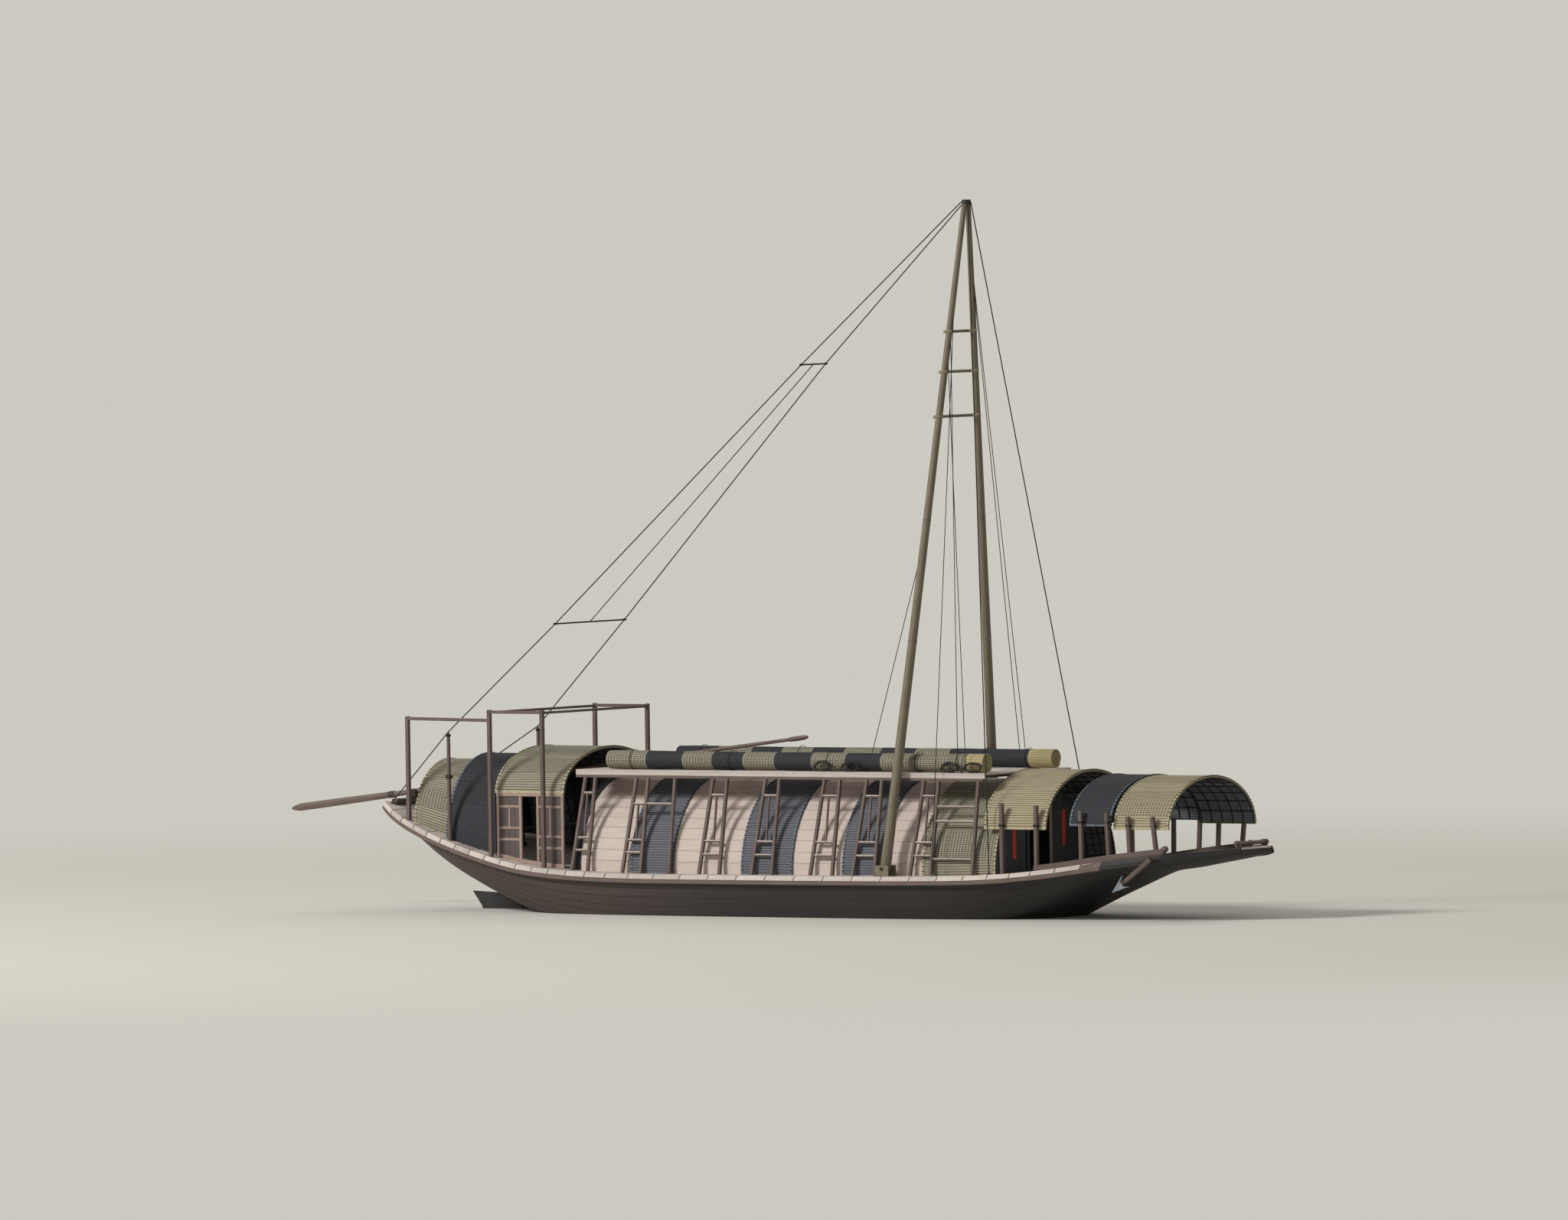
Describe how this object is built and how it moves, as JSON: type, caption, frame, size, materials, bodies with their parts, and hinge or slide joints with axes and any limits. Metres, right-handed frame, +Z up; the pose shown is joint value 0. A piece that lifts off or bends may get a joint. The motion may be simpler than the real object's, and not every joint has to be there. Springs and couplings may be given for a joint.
{
  "type": "chinese river junk with a bipod mast",
  "caption": "Flat-bottomed river junk with an arched mat-roofed house, fore and stern mats, a bipod mast with stays, a stern sweep and a rudder.",
  "frame": {"origin": "on the waterline, amidships, on the centreline", "axes": "+X towards the bow, +Y towards port, +Z up from the water"},
  "size_m": [26.51, 4.9456, 16.658],
  "materials": {
    "hull_wood": "oiled",
    "frame_wood": "painted brown",
    "pale_wood": "scrubbed",
    "house_wood": "weathered",
    "dark_wood": "stained dark",
    "mast_wood": "varnished",
    "olive_mat": "woven split bamboo",
    "dark_mat": "tarred woven split bamboo",
    "rope": "tarred",
    "iron": "forged"
  },
  "bodies": {
    "hull": {"hull": "hull_wood", "deck_planking_stern": "pale_wood", "deck_planking_quarter": "pale_wood", "deck_planking_waist": "pale_wood", "deck_planking_fore": "pale_wood", "rubbing_strake_starboard": "frame_wood", "rubbing_strake_port": "frame_wood", "house_vault": "house_wood", "house_mat_dark_1": "dark_mat", "house_mat_dark_2": "dark_mat", "house_mat_dark_3": "dark_mat", "house_mat_olive": "olive_mat", "bulkhead_fore": "dark_wood", "bulkhead_aft": "dark_wood", "prop_frames_starboard": "frame_wood", "prop_frames_port": "frame_wood", "roof_frame": "frame_wood", "roof_gangway_starboard": "pale_wood", "roof_gangway_port": "pale_wood", "mat_roll_starboard": "olive_mat", "mat_roll_port": "olive_mat", "stern_mat_1": "olive_mat", "stern_mat_2": "dark_mat", "stern_mat_3": "olive_mat", "fore_awning_1": "olive_mat", "fore_awning_2": "dark_mat", "fore_awning_3": "olive_mat", "stern_screen_starboard": "frame_wood", "stern_screen_port": "frame_wood", "stern_posts": "frame_wood", "stay_post_starboard": "frame_wood", "stay_post_port": "frame_wood", "fore_posts_starboard": "frame_wood", "fore_posts_port": "frame_wood", "house_post_starboard": "frame_wood", "house_post_port": "frame_wood", "lattice_wall_port": "dark_wood", "mast_step_starboard": "frame_wood", "mast_step_port": "frame_wood", "backstay_bridle": "rope", "fore_stays": "rope", "stern_beam": "frame_wood", "bow_roller_frame": "frame_wood", "anchor_shank": "frame_wood", "anchor_fluke": "iron", "rope_coil_1": "rope", "rope_coil_2": "rope", "rope_coil_3": "rope", "rope_coil_4": "rope"},
    "mast": {"mast_leg_starboard": "mast_wood", "mast_leg_port": "mast_wood", "mast_crossbar_1": "mast_wood", "mast_crossbar_2": "mast_wood", "mast_crossbar_3": "mast_wood", "mast_head": "mast_wood"},
    "rudder": {"rudder": "hull_wood", "tiller": "hull_wood"},
    "yoke": {"sweep_yoke": "iron"},
    "sweep": {"stern_sweep": "frame_wood"},
    "roller": {"bow_roller": "frame_wood"}
  },
  "joints": [
    {"name": "mast_rake", "type": "hinge", "parent": "hull", "child": "mast", "pos_m": [3.2, 0, 1.12858], "axis": [0, -1, 0], "range_deg": [0, 20], "deforming": ["backstay_bridle", "fore_stays"]},
    {"name": "rudder_turn", "type": "hinge", "parent": "hull", "child": "rudder", "pos_m": [-8.35, 0, 0], "axis": [0, 0, 1], "range_deg": [-35, 35]},
    {"name": "sweep_swing", "type": "hinge", "parent": "hull", "child": "yoke", "pos_m": [-11.33, 0, 2.64], "axis": [0, 0, 1], "range_deg": [-6, 6]},
    {"name": "sweep_dip", "type": "hinge", "parent": "yoke", "child": "sweep", "pos_m": [-11.33, 0, 2.64], "axis": [0, -1, 0], "range_deg": [0, 2.5]},
    {"name": "roller_spin", "type": "hinge", "parent": "hull", "child": "roller", "pos_m": [11.6, 0, 1.7076], "axis": [0, 1, 0], "continuous": true}
  ]
}
